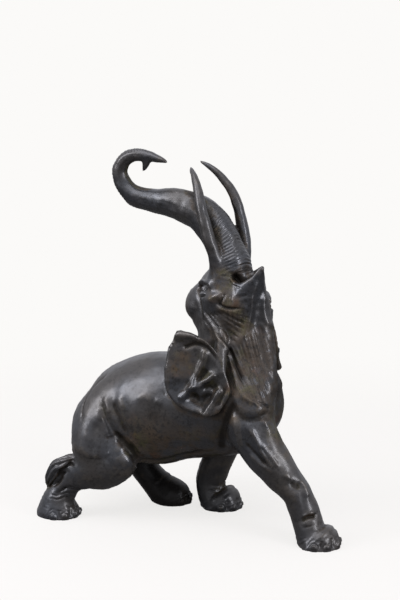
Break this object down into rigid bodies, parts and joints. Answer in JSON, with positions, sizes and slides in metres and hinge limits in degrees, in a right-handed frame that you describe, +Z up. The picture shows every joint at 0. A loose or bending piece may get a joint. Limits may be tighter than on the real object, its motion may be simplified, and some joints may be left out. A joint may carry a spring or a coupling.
{
  "type": "bronze elephant sculpture",
  "caption": "Cast bronze elephant lunging forward with its head thrown back, trunk curled over, ears spread and tusks raised; it stands on the flat soles of its feet.",
  "frame": {"origin": "middle of the bounding box's base, on the floor that the four soles stand on", "axes": "+X the way the figure faces, +Y its left side, +Z up"},
  "size_m": [0.6118, 0.2776, 0.712],
  "materials": {
    "bronze": "near-black waxed bronze patina"
  },
  "bodies": {
    "root": {"elephant": "bronze"}
  },
  "joints": []
}
